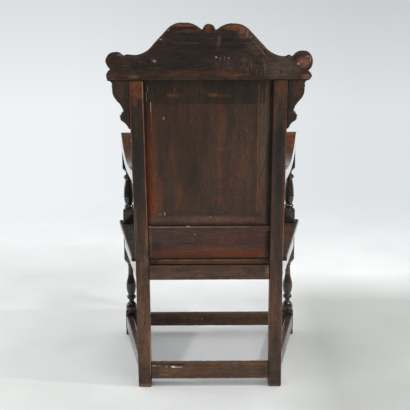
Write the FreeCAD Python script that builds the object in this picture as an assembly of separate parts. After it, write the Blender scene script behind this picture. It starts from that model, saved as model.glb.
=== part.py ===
import FreeCAD, Part
import math
import os

os.makedirs("parts", exist_ok=True)

# A joined oak armchair with a panelled back. Lengths are millimetres and angles degrees.
# Every place is given as x, depth and height: x runs to the sitter's left, depth runs
# forward from the rear faces of the stiles, and height runs up from the floor.

# The frame
back_width = 469.0
front_width = 629.0
frame_depth = 495.0
leg_size = 42.5
back_rake = 8.54
bend_drop = 1.3
arris = 1.8
foot_wear = 2.5

# Seat rails, stretchers and the lower back rail
rail_thickness = 24.0
rear_rail_height = 48.0
side_rail_height = 72.5
side_inset = 2.0
front_inset = 2.0
stretcher_bottom = 30.0
stretcher_height = 48.5
stretcher_thickness = 26.0
rear_stretcher_drop = 1.5
rear_stretcher_height = 53.5
lower_rail_height = 111.0
lower_rail_lift = 3.5
lower_rail_setback = 11.0

# Tenons, mortises, grooves and pegs
tenon_thickness = 8.0
tenon_stop = 14.5
tenon_cheek = 8.0
tenon_shoulder = 6.0
tenon_wall = 4.5
joint_gap = 0.15
tenon_end_gap = 1.5
peg_radius = 3.8
peg_gap = 0.1
peg_proud = 0.7
cut_overrun = 5.0

# The seat
seat_top = 436.0
seat_thickness = 18.0
seat_back_lap = 16.5
seat_front_lap = 21.0
seat_front_overhang = 20.0
seat_rear_setback = 9.0
seat_joint_depth = 225.0
seat_fit_gap = 0.5
seat_nosing = 6.0
seat_peg_bite = 24.0

# The back panel and its hand-cut bevels, as wide as they show from behind
groove_depth = 8.0
groove_width = 7.0
groove_cheek = 18.0
panel_gap = 0.3
panel_float = 1.5
panel_thickness = 13.0
panel_bevel_left = 21.0
panel_bevel_right = 44.0
panel_bevel_top = 70.0
panel_bevel_bottom = 34.0

# The crest rail
stile_rise = 586.8
crest_overhang = 67.5
crest_height = 164.0
crest_thickness = 30.0
crest_slip = 2.4
crest_tenon_width = 26.0
crest_tenon_thickness = 11.0
crest_tenon_length = 46.0

# The ear brackets and their nails
ear_tuck = 4.5
ear_drop = 152.5
ear_thickness = 24.0
ear_setback = 4.0
nail_radius = 1.7
nail_head_radius = 4.2
nail_head_height = 1.6
nail_bite = 16.0

# The front posts
foot_block_rise = 15.5
seat_block_drop = 45.5
seat_block_rise = 51.0
post_shoulder = 705.0
top_block_height = 65.0
top_block_inset = 2.25
post_tenon_radius = 10.5
post_tenon_length = 32.0

# The arms, with heights counted from the posts' shoulders
arm_back_drop = 15.0
arm_back_height = 40.0
arm_back_flare = 1.5
arm_dip_height = 9.0
arm_dip_thickness = 33.0
arm_rise_height = 37.5
arm_crown_height = 60.5
arm_crown_swell = 3.1
arm_under_sag = 3.5
arm_back_sag = 2.0
arm_throat_gap = 1.0
arm_shelf_lap = 7.0
arm_scroll_radius = 29.0
arm_reach = 37.0
arm_outer_lap = 6.5
arm_inner_lap = 13.0
arm_bow = 3.5
arm_corner = 13.0
arm_tenon_thickness = 10.0
arm_tenon_length = 26.0
arm_tenon_shoulder = 8.0
arm_peg_length = 28.0

# Pegs stand in from a leg's edge, and bite past a tenon, by shares of the leg, so that the
# pegs of two rails that meet in one leg miss each other
peg_setback_share = 0.306
peg_bite_share = 0.15

# Values worked out from the sizes above
half_back = back_width / 2
half_front = front_width / 2
stile_inner = half_back - leg_size
stile_middle = half_back - leg_size / 2
post_inner = half_front - leg_size
post_middle = half_front - leg_size / 2
post_back = frame_depth - leg_size
post_centre_depth = frame_depth - leg_size / 2
seat_under = seat_top - seat_thickness
rake = math.radians(back_rake)
bend_height = seat_top - bend_drop
lower_rail_bottom = bend_height + lower_rail_lift
lower_rail_top = lower_rail_bottom + lower_rail_height
crest_bottom = bend_height + stile_rise
crest_half = half_back + crest_overhang
ear_reach = crest_overhang - ear_tuck
tenon_length = leg_size - tenon_stop
side_tenon_length = leg_size - tenon_cheek - tenon_thickness - tenon_wall
peg_setback = leg_size * peg_setback_share
peg_length = tenon_cheek + tenon_thickness + (leg_size - tenon_cheek - tenon_thickness) * peg_bite_share
foot_block_top = stretcher_bottom + stretcher_height + foot_block_rise
seat_block_bottom = seat_under - side_rail_height - seat_block_drop
seat_block_top = seat_top + seat_block_rise
top_block_bottom = post_shoulder - top_block_height
top_block_size = leg_size - top_block_inset * 2
arm_nose_depth = frame_depth + arm_reach
arm_front_outer = half_front + arm_outer_lap
arm_front_inner = post_inner - arm_inner_lap
arm_back_bottom = post_shoulder - arm_back_drop
arm_back_top = arm_back_bottom + arm_back_height
arm_dip_top = post_shoulder + arm_dip_height
arm_crown_top = post_shoulder + arm_crown_height

forward = FreeCAD.Vector(0, -1, 0)
rearward = FreeCAD.Vector(0, 1, 0)
inward = FreeCAD.Vector(-1, 0, 0)
upward = FreeCAD.Vector(0, 0, 1)
downward = FreeCAD.Vector(0, 0, -1)


# Shared shapes
def point(x, depth, height):
    return FreeCAD.Vector(x, -depth, height)


def block(xs, depths, heights):
    low = FreeCAD.Vector(min(xs), -max(depths), min(heights))
    sizes = [max(span) - min(span) for span in (xs, depths, heights)]
    return Part.makeBox(*sizes, low)


def around(middle, size):
    return (middle - size / 2, middle + size / 2)


def grown(span, gap):
    return (min(span) - gap, max(span) + gap)


def between(span, share):
    return min(span) + (max(span) - min(span)) * share


def eased(shape, radius, shortest):
    """Rounds the arrises that are longer than a given length."""
    return shape.makeFillet(radius, [edge for edge in shape.Edges if edge.Length > shortest])


def worn_foot(shape):
    """Bevels the rim of a leg's foot, before its arrises are rounded."""
    rim = [edge for edge in shape.Edges if edge.BoundBox.ZMax < arris]
    return shape.makeChamfer(foot_wear, rim)


def is_arc(step):
    return isinstance(step[0], tuple)


def face_of(start, steps, place):
    """A flat face from a start and steps: a step is an end, or a middle and an end of an arc."""
    here = place(*start)
    edges = []
    for step in steps:
        end = place(*(step[1] if is_arc(step) else step))
        edge = Part.Arc(here, place(*step[0]), end) if is_arc(step) else Part.LineSegment(here, end)
        edges.append(edge.toShape())
        here = end
    edges.append(Part.LineSegment(here, place(*start)).toShape())
    return Part.Face(Part.Wire(edges))


def lean(shape):
    """Tips a piece of the back about the bend in the stiles' rear faces."""
    leaning = shape.copy()
    leaning.rotate(point(0, 0, bend_height), FreeCAD.Vector(1, 0, 0), -back_rake)
    return leaning


def mirrored(shape):
    return shape.mirror(FreeCAD.Vector(0, 0, 0), FreeCAD.Vector(1, 0, 0))


# Rails that run from side to side
def cross_rail(half_span, depths, heights, tenon_depths):
    return {
        "half": half_span,
        "depths": depths,
        "heights": heights,
        "tenon_depths": tenon_depths,
        "tenon_heights": grown(heights, -tenon_shoulder),
    }


def cross_rail_solid(rail):
    body = block((-rail["half"], rail["half"]), rail["depths"], rail["heights"])
    body = eased(body, arris, rail["half"])
    reach = rail["half"] + tenon_length
    tenons = block((-reach, reach), rail["tenon_depths"], rail["tenon_heights"])
    return body.fuse(tenons).removeSplitter()


def cross_rail_mortise(rail):
    """The mortise for the rail's tenon, in the leg on the sitter's left."""
    reach = (rail["half"] - cut_overrun, rail["half"] + tenon_length + tenon_end_gap)
    return block(reach, grown(rail["tenon_depths"], joint_gap), grown(rail["tenon_heights"], joint_gap))


rear_tenon_depths = (tenon_cheek, tenon_cheek + tenon_thickness)
front_tenon_depths = (frame_depth - tenon_cheek - tenon_thickness, frame_depth - tenon_cheek)
front_face = frame_depth - front_inset
stretcher_heights = (stretcher_bottom, stretcher_bottom + stretcher_height)
rear_stretcher_bottom = stretcher_bottom - rear_stretcher_drop
rear_stretcher_heights = (rear_stretcher_bottom, rear_stretcher_bottom + rear_stretcher_height)
side_rail_heights = (seat_under - side_rail_height, seat_under)
seat_rail_rear = cross_rail(
    stile_inner, (0, rail_thickness), (seat_under - rear_rail_height, seat_under), rear_tenon_depths)
seat_rail_front = cross_rail(
    post_inner, (front_face - rail_thickness, front_face), side_rail_heights, front_tenon_depths)
stretcher_rear = cross_rail(
    stile_inner, (front_inset, front_inset + stretcher_thickness), rear_stretcher_heights,
    rear_tenon_depths)
stretcher_front = cross_rail(
    post_inner, (front_face - stretcher_thickness, front_face), stretcher_heights, front_tenon_depths)
lower_back_rail = cross_rail(
    stile_inner, (lower_rail_setback, lower_rail_setback + rail_thickness),
    (lower_rail_bottom, lower_rail_top),
    (lower_rail_setback + tenon_cheek, lower_rail_setback + tenon_cheek + tenon_thickness))


# Rails that run from back to front, splayed with the sides of the chair
def side_x(depth, inset):
    """How far out the side of the frame lies at a depth, less an inset."""
    share = (depth - leg_size) / (post_back - leg_size)
    return half_back + (half_front - half_back) * share - inset


def side_strip(insets, depths, heights):
    """A bar along the side, between two insets and two depths."""
    corners = [(insets[0], depths[0]), (insets[1], depths[0]), (insets[1], depths[1]), (insets[0], depths[1])]
    points = [point(side_x(depth, inset), depth, min(heights)) for inset, depth in corners]
    face = Part.Face(Part.makePolygon(points + points[:1]))
    return face.extrude(upward * (max(heights) - min(heights)))


side_tenon_insets = (tenon_cheek, tenon_cheek + tenon_thickness)
side_span = (leg_size, post_back)


def side_rail_solid(heights, thickness):
    body = side_strip((side_inset, side_inset + thickness), side_span, heights)
    body = eased(body, arris, (post_back - leg_size) / 2)
    tenons = side_strip(
        side_tenon_insets, grown(side_span, side_tenon_length), grown(heights, -tenon_shoulder))
    return body.fuse(tenons).removeSplitter()


def side_rail_mortises(heights):
    return side_strip(
        grown(side_tenon_insets, joint_gap), grown(side_span, side_tenon_length + tenon_end_gap),
        grown(heights, joint_gap - tenon_shoulder))


# Pegs. Each is a start on the surface, a direction and a length, on the sitter's left.
peg_height_shares = (0.25, 0.75)
rear_board_peg_shares = (0.26, 0.78)
front_board_peg_shares = (0.18, 0.75)
middle_share = 0.5


def corner_pegs(rear_heights, side_heights, shares):
    """Pegs through the four joints on the left side of one ring of rails."""
    found = []
    for share in shares:
        rear = between(rear_heights, share)
        side = between(side_heights, share)
        found.append((point(stile_inner + peg_setback, 0, rear), forward, peg_length))
        found.append((point(post_inner + peg_setback, frame_depth, side), rearward, peg_length))
        found.append((point(half_back, leg_size - peg_setback, side), inward, peg_length))
        found.append((point(half_front, post_back + peg_setback, side), inward, peg_length))
    return found


def leaned_pegs(found):
    """Tips pegs that were placed on the upright back."""
    tipped = FreeCAD.Rotation(FreeCAD.Vector(1, 0, 0), -back_rake)
    bend = point(0, 0, bend_height)
    return [(bend + tipped.multVec(start - bend), tipped.multVec(direction), length)
            for start, direction, length in found]


def stile_face_depth(height):
    """Depth of a stile's leaning front face at a height."""
    return leg_size / math.cos(rake) - math.tan(rake) * (height - bend_height)


def arm_outer_x(depth):
    """The outer side of an arm, without its bow."""
    back = half_back + arm_back_flare
    return back + (arm_front_outer - back) * depth / (arm_nose_depth - arm_corner)


arm_tenon_heights = (arm_back_bottom + arm_tenon_shoulder, arm_back_top - arm_tenon_shoulder)
arm_peg_height = between(arm_tenon_heights, middle_share)
arm_post_peg_height = post_shoulder + post_tenon_length / 2
seat_frame_peg_list = corner_pegs(seat_rail_rear["heights"], side_rail_heights, peg_height_shares)
stretcher_peg_list = corner_pegs(rear_stretcher_heights, stretcher_heights, (middle_share,))
back_rail_peg_list = leaned_pegs([
    (point(stile_inner + peg_setback, 0, between(lower_back_rail["heights"], share)), forward,
     lower_rail_setback + peg_length) for share in peg_height_shares])
crest_peg_list = leaned_pegs([
    (point(stile_middle, 0, crest_bottom + crest_tenon_length / 2), forward,
     crest_thickness - tenon_cheek)])
arm_peg_list = [
    (point(half_back, stile_face_depth(arm_peg_height) - peg_setback, arm_peg_height), inward,
     arm_peg_length)]
arm_post_peg_list = [
    (point(arm_outer_x(post_centre_depth), post_centre_depth, arm_post_peg_height), inward,
     arm_outer_x(post_centre_depth) - post_middle + post_tenon_radius)]
seat_peg_length = seat_thickness + seat_peg_bite
seat_peg_depths = [between((leg_size, seat_joint_depth), share) for share in rear_board_peg_shares]
seat_peg_depths += [between((seat_joint_depth, post_back), share) for share in front_board_peg_shares]
seat_peg_list = [
    (point(side_x(depth, side_inset + rail_thickness / 2), depth, seat_top), downward, seat_peg_length)
    for depth in seat_peg_depths]
seat_peg_list.append((
    point(post_inner / 2, front_face - rail_thickness / 2, seat_top), downward, seat_peg_length))


def peg(start, direction, length):
    """A peg whose rounded head stands a little proud."""
    solid = Part.makeCylinder(peg_radius, length + peg_proud, start - direction * peg_proud, direction)
    rim = [edge for edge in solid.Edges if edge.BoundBox.Center.distanceToPoint(start) < peg_radius]
    return solid.makeChamfer(peg_proud / 2, rim)


def peg_group(found):
    solids = [peg(start, direction, length) for start, direction, length in found]
    return Part.makeCompound(solids + [mirrored(solid) for solid in solids])


def peg_holes(found):
    """The holes for one side's pegs, a little wider and deeper than the pegs."""
    return [Part.makeCylinder(
        peg_radius + peg_gap, length + cut_overrun + peg_gap, start - direction * cut_overrun, direction)
        for start, direction, length in found]


# Nails that hold the ear brackets, driven from the bracket's edge into the stile
nail_place_shares = ((0.79, 0.14), (0.47, 0.74))


def nail_starts():
    return [point(
        half_back + ear_reach * reach, ear_setback + ear_thickness / 2, crest_bottom - ear_drop * drop)
        for reach, drop in nail_place_shares]


def nail(start):
    length = start.x - half_back + nail_bite
    shank = Part.makeCylinder(nail_radius, length, start, inward)
    head = Part.makeCone(
        nail_head_radius, nail_radius, nail_head_height, start, inward * -1)
    return shank.fuse(head).removeSplitter()


def nail_holes():
    return [lean(Part.makeCylinder(
        nail_radius + peg_gap, start.x - half_back + nail_bite + peg_gap + cut_overrun,
        start - inward * cut_overrun, inward)) for start in nail_starts()]


# Rear stiles, each a rear leg and a back upright in one piece
def stile_profile():
    """Side view of a stile: upright to the seat, then leaning back."""
    front_bend = bend_height + leg_size * math.tan(rake / 2)
    run, rise = math.sin(rake), math.cos(rake)
    top_rear = (-run * stile_rise, bend_height + rise * stile_rise)
    top_front = (top_rear[0] + rise * leg_size, top_rear[1] + run * leg_size)
    steps = [(0, bend_height), top_rear, top_front, (leg_size, front_bend), (leg_size, 0)]
    return face_of((0, 0), steps, lambda depth, height: point(stile_inner, depth, height))


def crest_tenon(gap, end_gap):
    return block(
        grown(around(stile_middle, crest_tenon_width), gap),
        grown(around(crest_thickness / 2, crest_tenon_thickness), gap),
        (crest_bottom - cut_overrun, crest_bottom + crest_tenon_length + end_gap))


def arm_tenon(gap, end_gap):
    face = stile_face_depth(arm_peg_height)
    return block(
        grown(around(stile_middle, arm_tenon_thickness), gap),
        (face - arm_tenon_length - end_gap, face + cut_overrun), grown(arm_tenon_heights, gap))


groove_depths = (groove_cheek, groove_cheek + groove_width)


def rear_stile():
    stile = worn_foot(stile_profile().extrude(point(leg_size, 0, 0)))
    stile = eased(stile, arris, leg_size * 2)
    stile = stile.fuse(lean(crest_tenon(0, 0)))
    groove = block(
        (stile_inner - cut_overrun, stile_inner + groove_depth), groove_depths,
        (lower_rail_top - groove_depth - tenon_shoulder, crest_bottom + cut_overrun))
    cuts = [cross_rail_mortise(seat_rail_rear), cross_rail_mortise(stretcher_rear)]
    cuts += [lean(cross_rail_mortise(lower_back_rail)), lean(groove)]
    cuts += [arm_tenon(joint_gap, tenon_end_gap)]
    cuts += [side_rail_mortises(side_rail_heights), side_rail_mortises(stretcher_heights)]
    cuts += peg_holes(seat_frame_peg_list + stretcher_peg_list + back_rail_peg_list)
    cuts += peg_holes(crest_peg_list + arm_peg_list) + nail_holes()
    return stile.cut(cuts).removeSplitter()


# Front posts, turned between square blocks. Turned outlines are shares of the turning's
# height and of half the leg, and the corner share reaches past the square's corners.
corner_share = 1.5
shoulder_start_share = 0.25
leg_turning_shares = [
    ((-0.005, 1.25), (0.012, 0.91)),
    ((0.060, 1.00), (0.155, 0.54)),
    ((0.185, 0.44), (0.215, 0.56)),
    ((0.258, 0.82), (0.295, 0.57)),
    (0.305, 0.57),
    ((0.450, 0.87), (0.565, 0.76)),
    ((0.650, 0.54), (0.760, 0.46)),
    (0.850, 0.43),
    (0.858, 0.56),
    (0.868, 0.56),
    (0.880, 0.48),
    ((0.930, 0.86), (1.015, corner_share)),
]
arm_turning_shares = [
    ((-0.012, 1.22), (0.010, 0.78)),
    (0.018, 0.64),
    ((0.068, 0.83), (0.108, 0.61)),
    (0.118, 0.59),
    ((0.190, 0.78), (0.268, 0.84)),
    (0.276, 0.79),
    (0.284, 0.86),
    ((0.310, 0.91), (0.336, 0.89)),
    (0.344, 0.82),
    (0.352, 0.88),
    ((0.540, 0.78), (0.730, 0.53)),
    ((0.782, 0.85), (0.830, 0.52)),
    ((0.868, 0.43), (0.910, 0.47)),
    ((0.955, 0.78), (1.045, corner_share)),
]


def turning_steps(bottom, top, shares):
    """Steps of radius and height for one turned stretch, from the block below it."""
    def place(share, radius_share):
        return (radius_share * leg_size / 2, bottom + (top - bottom) * share)
    start = (corner_share * leg_size / 2, bottom - leg_size * shoulder_start_share)
    return [start] + [tuple(place(*end) for end in step) if is_arc(step) else place(*step)
                      for step in shares]


def turned_body():
    corner = corner_share * leg_size / 2
    steps = [(corner, 0)]
    steps += turning_steps(foot_block_top, seat_block_bottom, leg_turning_shares)
    steps += turning_steps(seat_block_top, top_block_bottom, arm_turning_shares)
    steps += [(corner, post_shoulder), (0, post_shoulder)]
    outline = face_of((0, 0), steps, lambda radius, height: point(
        post_middle + radius, post_centre_depth, height))
    return outline.revolve(point(post_middle, post_centre_depth, 0), upward, 360)


def square_stock(size, heights):
    return block(around(post_middle, size), around(post_centre_depth, size), heights)


def post_tenon(gap, end_gap):
    return Part.makeCylinder(
        post_tenon_radius + gap, post_tenon_length + end_gap + cut_overrun,
        point(post_middle, post_centre_depth, post_shoulder - cut_overrun))


def front_post():
    split = between((seat_block_top, top_block_bottom), middle_share)
    stock = eased(worn_foot(square_stock(leg_size, (0, split))), arris, leg_size * 2)
    top = eased(square_stock(top_block_size, (split, post_shoulder)), arris, top_block_size + arris)
    post = turned_body().common(stock.fuse(top)).fuse(post_tenon(0, 0))
    cuts = [cross_rail_mortise(seat_rail_front), cross_rail_mortise(stretcher_front)]
    cuts += [side_rail_mortises(side_rail_heights), side_rail_mortises(stretcher_heights)]
    cuts += peg_holes(seat_frame_peg_list + stretcher_peg_list + arm_post_peg_list)
    return post.cut(cuts).removeSplitter()


# Crest rail. Its outline is sawn by hand, so its two halves differ a little. The points are
# shares of half its length and of its height, from the end on the sitter's left.
crest_start_share = (0.992, 0.0)
crest_outline_shares = [
    (1.000, 0.100), ((0.983, 0.150), (0.942, 0.180)),
    ((0.980, 0.250), (1.000, 0.343)), ((0.978, 0.438), (0.915, 0.484)), ((0.862, 0.474), (0.826, 0.398)),
    (0.812, 0.446), (0.715, 0.426), ((0.612, 0.492), (0.540, 0.620)), (0.402, 0.886),
    ((0.340, 0.968), (0.247, 1.000)), ((0.150, 0.972), (0.062, 0.862)),
    ((0.000, 0.976), (-0.062, 0.850)),
    ((-0.135, 0.946), (-0.232, 0.981)), ((-0.325, 0.950), (-0.395, 0.860)), (-0.535, 0.585),
    ((-0.630, 0.440), (-0.705, 0.397)), ((-0.742, 0.398), (-0.776, 0.436)), (-0.806, 0.385),
    ((-0.850, 0.472), (-0.915, 0.495)), ((-0.978, 0.446), (-1.000, 0.350)),
    ((-0.990, 0.230), (-0.946, 0.140)), ((-0.985, 0.110), (-1.000, 0.065)), (-0.980, 0.0),
]


def crest_rail():
    def place(share, height_share):
        return point(crest_half * share - crest_slip, 0, crest_bottom + crest_height * height_share)
    crest = face_of(crest_start_share, crest_outline_shares, place).extrude(forward * crest_thickness)
    mortise = crest_tenon(joint_gap, tenon_end_gap)
    reach = stile_inner + groove_depth
    groove = block((-reach, reach), groove_depths, (crest_bottom - cut_overrun, crest_bottom + groove_depth))
    holes = peg_holes(crest_peg_list)
    crest = lean(crest.cut([mortise, mirrored(mortise), groove]))
    return crest.cut(holes + [mirrored(hole) for hole in holes])


# Ear brackets, in shares of their reach from the stile and their drop below the crest
ear_outline_shares = [
    (1.000, 0.000), (0.995, 0.020), ((0.860, 0.030), (0.790, 0.075)), (0.790, 0.190),
    ((0.725, 0.325), (0.520, 0.445)), ((0.370, 0.540), (0.290, 0.649)),
    ((0.465, 0.740), (0.400, 0.825)), ((0.220, 0.885), (0.120, 0.955)), ((0.060, 0.985), (0.000, 1.000)),
]


def ear_bracket():
    def place(share, drop_share):
        return point(half_back + ear_reach * share, ear_setback, crest_bottom - ear_drop * drop_share)
    bracket = face_of((0, 0), ear_outline_shares, place).extrude(forward * ear_thickness)
    return lean(bracket).cut(nail_holes())


# Lower back rail and the panel above it
def lower_back_rail_solid():
    groove = block(
        grown((-stile_inner, stile_inner), groove_depth), groove_depths,
        (lower_rail_top - groove_depth, lower_rail_top + cut_overrun))
    rail = lean(cross_rail_solid(lower_back_rail).cut(groove))
    holes = peg_holes(back_rail_peg_list)
    return rail.cut(holes + [mirrored(hole) for hole in holes])


def bevel_cut(edge, width, sign, along, heights_run):
    """The wedge that bevels one rear edge of the panel, and thins its tongue."""
    rear = groove_cheek + groove_width - panel_gap - panel_thickness
    tongue = groove_cheek + panel_gap
    outer = edge + sign * (groove_depth + cut_overrun)
    corners = [(edge - sign * width, rear), (edge, tongue), (outer, tongue),
               (outer, rear - cut_overrun), (edge - sign * width, rear - cut_overrun)]
    low, high = along
    if heights_run:
        points = [point(across, depth, low) for across, depth in corners]
        run = upward * (high - low)
    else:
        points = [point(low, depth, across) for across, depth in corners]
        run = inward * (low - high)
    return Part.Face(Part.makePolygon(points + points[:1])).extrude(run)


def back_panel():
    half = stile_inner + groove_depth - panel_float
    heights = (lower_rail_top - groove_depth + panel_float, crest_bottom + groove_depth - panel_float)
    front = groove_cheek + groove_width - panel_gap
    panel = block((-half, half), (front - panel_thickness, front), heights)
    tall = grown(heights, cut_overrun)
    wide = (-half - cut_overrun, half + cut_overrun)
    panel = panel.cut([
        bevel_cut(stile_inner, panel_bevel_left, 1, tall, True),
        bevel_cut(-stile_inner, panel_bevel_right, -1, tall, True),
        bevel_cut(crest_bottom, panel_bevel_top, 1, wide, False),
        bevel_cut(lower_rail_top, panel_bevel_bottom, -1, wide, False)])
    return lean(panel)


# Seat boards
def seat_x(depth):
    """How far out the seat's edge lies at a depth."""
    share = (depth - leg_size) / (frame_depth + seat_front_overhang - leg_size)
    back = half_back + seat_back_lap
    return back + (half_front + seat_front_lap - back) * share


def seat_board(outline, is_outer):
    """A board from its plan on the sitter's left, with a rounded nose on its outer edges."""
    plan = [(x, depth) for x, depth in outline] + [(-x, depth) for x, depth in outline[::-1]]
    points = [point(x, depth, seat_under) for x, depth in plan]
    board = Part.Face(Part.makePolygon(points + points[:1])).extrude(upward * seat_thickness)
    nose = [edge for edge in board.Edges if edge.BoundBox.ZMin > seat_under and is_outer(edge.BoundBox)]
    holes = peg_holes(seat_peg_list)
    return board.makeFillet(seat_nosing, nose).cut(holes + [mirrored(hole) for hole in holes])


def on_the_sides(box):
    return box.XMin > half_back or box.XMax < -half_back


def seat_board_rear():
    notch = leg_size + seat_fit_gap
    side = stile_inner - seat_fit_gap
    end = seat_joint_depth - seat_fit_gap / 2
    outline = [(side, seat_rear_setback), (side, notch), (seat_x(notch), notch), (seat_x(end), end)]
    return seat_board(outline, lambda box: on_the_sides(box) and box.YLength > leg_size)


def seat_board_front():
    start = seat_joint_depth + seat_fit_gap / 2
    end = frame_depth + seat_front_overhang
    outline = [(seat_x(start), start), (seat_x(end), end)]
    board = seat_board(outline, lambda box: on_the_sides(box) or box.YMax < -frame_depth)
    hole = block(
        grown((post_inner, half_front), seat_fit_gap), grown((post_back, frame_depth), seat_fit_gap),
        grown((seat_under, seat_top), cut_overrun))
    return board.cut([hole, mirrored(hole)])


# Arms, shaped from the side and from above. The lowest and the steepest place of an arm's
# top are shares of the frame's depth, and a quarter round stays inside its corner by a
# share of its radius.
arm_dip_share = 0.434
arm_rise_share = 0.818
round_share = 1 - math.sqrt(2) / 2


def sagging(start, end, sag):
    """The middle of an arc that sags below the straight line between two points."""
    return (between((start[0], end[0]), middle_share), between((start[1], end[1]), middle_share) - sag)


def arm_side_face():
    """Side view of an arm: hollowed behind, rising over the post to a scrolled end."""
    scroll_depth = arm_nose_depth - arm_scroll_radius
    scroll_height = arm_crown_top - arm_scroll_radius
    throat = post_centre_depth + top_block_size / 2 + arm_throat_gap
    throat_height = scroll_height - math.sqrt(arm_scroll_radius ** 2 - (scroll_depth - throat) ** 2)
    shelf = (post_centre_depth - top_block_size / 2 - arm_shelf_lap, post_shoulder)
    dip_depth = frame_depth * arm_dip_share
    hollow = (dip_depth, arm_dip_top - arm_dip_thickness)
    back_low = (stile_face_depth(arm_back_bottom), arm_back_bottom)
    back_high = (stile_face_depth(arm_back_top), arm_back_top)
    rise = (frame_depth * arm_rise_share, post_shoulder + arm_rise_height)
    crown = (scroll_depth, arm_crown_top)
    steps = [
        (sagging(shelf, hollow, arm_under_sag), hollow),
        (sagging(hollow, back_low, arm_back_sag), back_low),
        back_high,
        ((dip_depth, arm_dip_top), rise),
        (sagging(rise, crown, -arm_crown_swell), crown),
        ((arm_nose_depth, scroll_height), (throat, throat_height)),
        (throat, post_shoulder),
    ]
    return face_of(shelf, steps, lambda depth, height: point(0, depth, height))


def arm_plan_face(height):
    """View of an arm from above: two bowed sides and a rounded front."""
    corner_depth = arm_nose_depth - arm_corner
    back = -leg_size
    outer_back = arm_outer_x(back)
    inner_back = stile_inner + (arm_front_inner - stile_inner) * back / corner_depth
    middle = between((back, corner_depth), middle_share)
    tuck = arm_corner * round_share
    steps = [
        ((between((outer_back, arm_front_outer), middle_share) + arm_bow, middle),
         (arm_front_outer, corner_depth)),
        ((arm_front_outer - tuck, arm_nose_depth - tuck), (arm_front_outer - arm_corner, arm_nose_depth)),
        (arm_front_inner + arm_corner, arm_nose_depth),
        ((arm_front_inner + tuck, arm_nose_depth - tuck), (arm_front_inner, corner_depth)),
        ((between((inner_back, arm_front_inner), middle_share) + arm_bow, middle), (inner_back, back)),
    ]
    return face_of((outer_back, back), steps, lambda x, depth: point(x, depth, height))


def arm():
    low = arm_dip_top - arm_dip_thickness - arm_scroll_radius
    high = arm_crown_top + arm_scroll_radius
    plank = arm_plan_face(low).extrude(upward * (high - low))
    width = FreeCAD.Vector(arm_front_outer + arm_scroll_radius, 0, 0)
    shape = arm_side_face().extrude(width).common(plank).fuse(arm_tenon(0, 0))
    holes = [post_tenon(joint_gap, tenon_end_gap)] + peg_holes(arm_post_peg_list + arm_peg_list)
    return shape.cut(holes).removeSplitter()


# The finished chair, standing with its footprint centred on the origin
def rail_with_holes(rail, found):
    holes = peg_holes(found)
    return rail.cut(holes + [mirrored(hole) for hole in holes])


def chair():
    frame_pegs = seat_frame_peg_list + seat_peg_list
    side_rail = side_rail_solid(side_rail_heights, rail_thickness).cut(peg_holes(frame_pegs))
    side_stretcher = side_rail_solid(stretcher_heights, stretcher_thickness)
    side_stretcher = side_stretcher.cut(peg_holes(stretcher_peg_list))
    nails = [lean(nail(start)) for start in nail_starts()]
    pieces = {
        "crest_rail": crest_rail(),
        "lower_back_rail": lower_back_rail_solid(),
        "back_panel": back_panel(),
        "seat_rail_front": rail_with_holes(cross_rail_solid(seat_rail_front), frame_pegs),
        "seat_rail_rear": rail_with_holes(cross_rail_solid(seat_rail_rear), frame_pegs),
        "stretcher_front": rail_with_holes(cross_rail_solid(stretcher_front), stretcher_peg_list),
        "stretcher_rear": rail_with_holes(cross_rail_solid(stretcher_rear), stretcher_peg_list),
        "seat_board_front": seat_board_front(),
        "seat_board_rear": seat_board_rear(),
        "seat_frame_pegs": peg_group(seat_frame_peg_list),
        "stretcher_pegs": peg_group(stretcher_peg_list),
        "back_rail_pegs": peg_group(back_rail_peg_list),
        "crest_pegs": peg_group(crest_peg_list),
        "arm_pegs": peg_group(arm_peg_list),
        "arm_post_pegs": peg_group(arm_post_peg_list),
        "seat_board_pegs": peg_group(seat_peg_list),
        "ear_nails": Part.makeCompound(nails + [mirrored(solid) for solid in nails]),
    }
    left_pieces = {
        "rear_stile": rear_stile(),
        "front_post": front_post(),
        "seat_rail": side_rail,
        "stretcher": side_stretcher,
        "ear_bracket": ear_bracket(),
        "arm": arm(),
    }
    for name, shape in left_pieces.items():
        pieces[name + "_left"] = shape
        pieces[name + "_right"] = mirrored(shape)
    return pieces


def main():
    pieces = chair()
    footprint = Part.makeCompound(list(pieces.values())).optimalBoundingBox(False, False)
    shift = FreeCAD.Vector(-footprint.Center.x, -footprint.Center.y, 0)
    for name, shape in pieces.items():
        shape.translate(shift)
        shape.exportStep("parts/" + name + ".step")
        print(name, "solids", len(shape.Solids), "valid", shape.isValid(), "volume", round(shape.Volume))
    print("shift", round(shift.x, 3), round(shift.y, 3), "size", [
        round(side, 2) for side in (footprint.XLength, footprint.YLength, footprint.ZLength)])


main()
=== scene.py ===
# %% [markdown]
# This is a joined oak armchair of the kind called a wainscot chair, seen from behind. Its solids come from
# a CAD model and stay where they are. Each solid could simply be painted, but then every arris would stay as
# sharp as on the day it was cut. So each wooden piece gets a fine skin that can wear and hold dirt, and only
# the pegs and nails keep the mesh of their solid. All lengths are in metres.

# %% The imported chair
import math

import bmesh
import bpy
import numpy as np
from mathutils import Euler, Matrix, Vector, noise
from mathutils.bvhtree import BVHTree


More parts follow.
